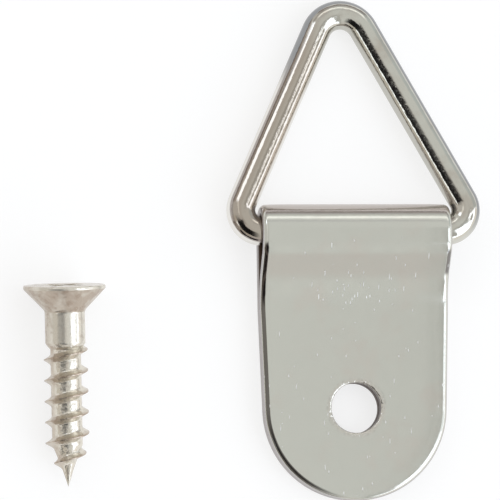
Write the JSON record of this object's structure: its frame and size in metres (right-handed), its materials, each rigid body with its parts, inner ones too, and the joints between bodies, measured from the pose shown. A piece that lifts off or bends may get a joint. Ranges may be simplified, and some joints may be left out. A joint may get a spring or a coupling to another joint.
{
  "type": "triangle picture hanger",
  "caption": "Folded metal strap with a screw hole and a swinging triangular wire ring, for hanging a picture frame, with the countersunk wood screw that fixes it.",
  "frame": {"origin": "on the screw hole's axis, in the plane of the strap's back face", "axes": "+Z out of the surface that the strap lies on, +Y from the screw hole towards the ring, +X along the hinge line"},
  "size_m": [0.0365, 0.0397, 0.0064],
  "materials": {
    "strap_nickel": "nickel-plated sheet, satin",
    "ring_nickel": "nickel-plated wire, bright",
    "screw_nickel": "nickel-plated screw, bright"
  },
  "bodies": {
    "strap": {"strap": "strap_nickel"},
    "ring": {"triangle_ring": "ring_nickel"},
    "screw": {"wood_screw": "screw_nickel"}
  },
  "joints": [
    {"name": "ring_swing", "type": "hinge", "parent": "strap", "child": "ring", "pos_m": [0, 0.01395, 0.00213], "axis": [1, 0, 0], "range_deg": [0, 128]},
    {"name": "screw_lift", "type": "slide", "parent": "strap", "child": "screw", "axis": [0, 0, 1], "range_m": [0, 0.03]}
  ]
}
